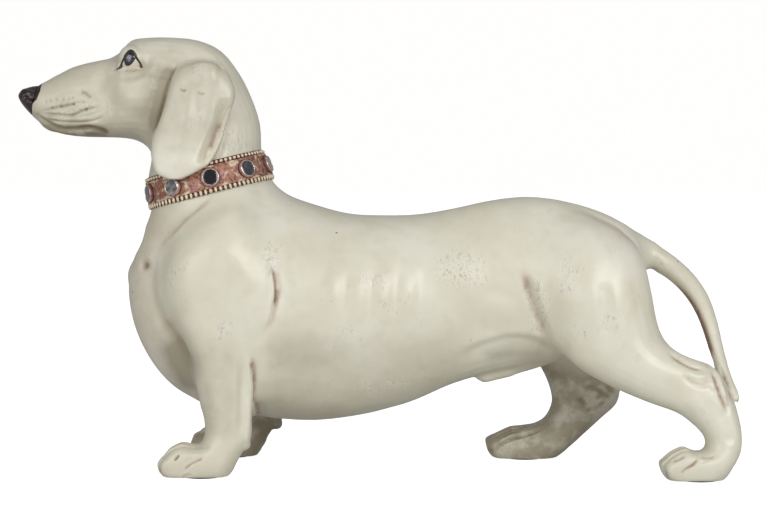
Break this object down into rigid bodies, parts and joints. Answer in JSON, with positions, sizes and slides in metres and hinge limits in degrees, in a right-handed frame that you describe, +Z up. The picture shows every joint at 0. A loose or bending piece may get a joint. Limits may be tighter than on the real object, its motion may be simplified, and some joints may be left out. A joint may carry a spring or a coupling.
{
  "type": "dog figurine",
  "caption": "Standing dachshund figurine in cream glazed ceramic with drooping ears, a tail resting on the hock and a copper collar set with round glass stones.",
  "frame": {"origin": "centre of the overall box on the standing surface", "axes": "+X towards the tail, so the head points along -X; +Y to the dog's right; +Z up"},
  "size_m": [0.3989, 0.112, 0.2399],
  "materials": {
    "cream_glaze": "satin cream glaze with a brown wash in the creases",
    "dark_glaze": "gloss dark brown glaze",
    "collar_copper": "rubbed copper",
    "collar_edge": "rubbed beige beading",
    "cup_metal": "worn silver over copper",
    "stone_glass": "foil-backed smoky glass",
    "pad_felt": "brown felt"
  },
  "bodies": {
    "root": {"trunk_shell": "cream_glaze", "head_shell": "cream_glaze", "left_ear": "cream_glaze", "right_ear": "cream_glaze", "left_foreleg": "cream_glaze", "right_foreleg": "cream_glaze", "left_hind_leg": "cream_glaze", "right_hind_leg": "cream_glaze", "tail": "cream_glaze", "nose": "dark_glaze", "left_eye": "dark_glaze", "right_eye": "dark_glaze", "collar_band": "collar_copper", "collar_upper_edge": "collar_edge", "collar_lower_edge": "collar_edge", "left_fore_pad": "pad_felt", "right_fore_pad": "pad_felt", "left_hind_pad": "pad_felt", "right_hind_pad": "pad_felt", "stone_1": "stone_glass", "stone_2": "stone_glass", "stone_3": "stone_glass", "stone_4": "stone_glass", "stone_5": "stone_glass", "stone_6": "stone_glass", "stone_7": "stone_glass", "stone_8": "stone_glass", "stone_9": "stone_glass", "stone_10": "stone_glass", "stone_cup_1": "cup_metal", "stone_cup_2": "cup_metal", "stone_cup_3": "cup_metal", "stone_cup_4": "cup_metal", "stone_cup_5": "cup_metal", "stone_cup_6": "cup_metal", "stone_cup_7": "cup_metal", "stone_cup_8": "cup_metal", "stone_cup_9": "cup_metal", "stone_cup_10": "cup_metal"}
  },
  "joints": []
}
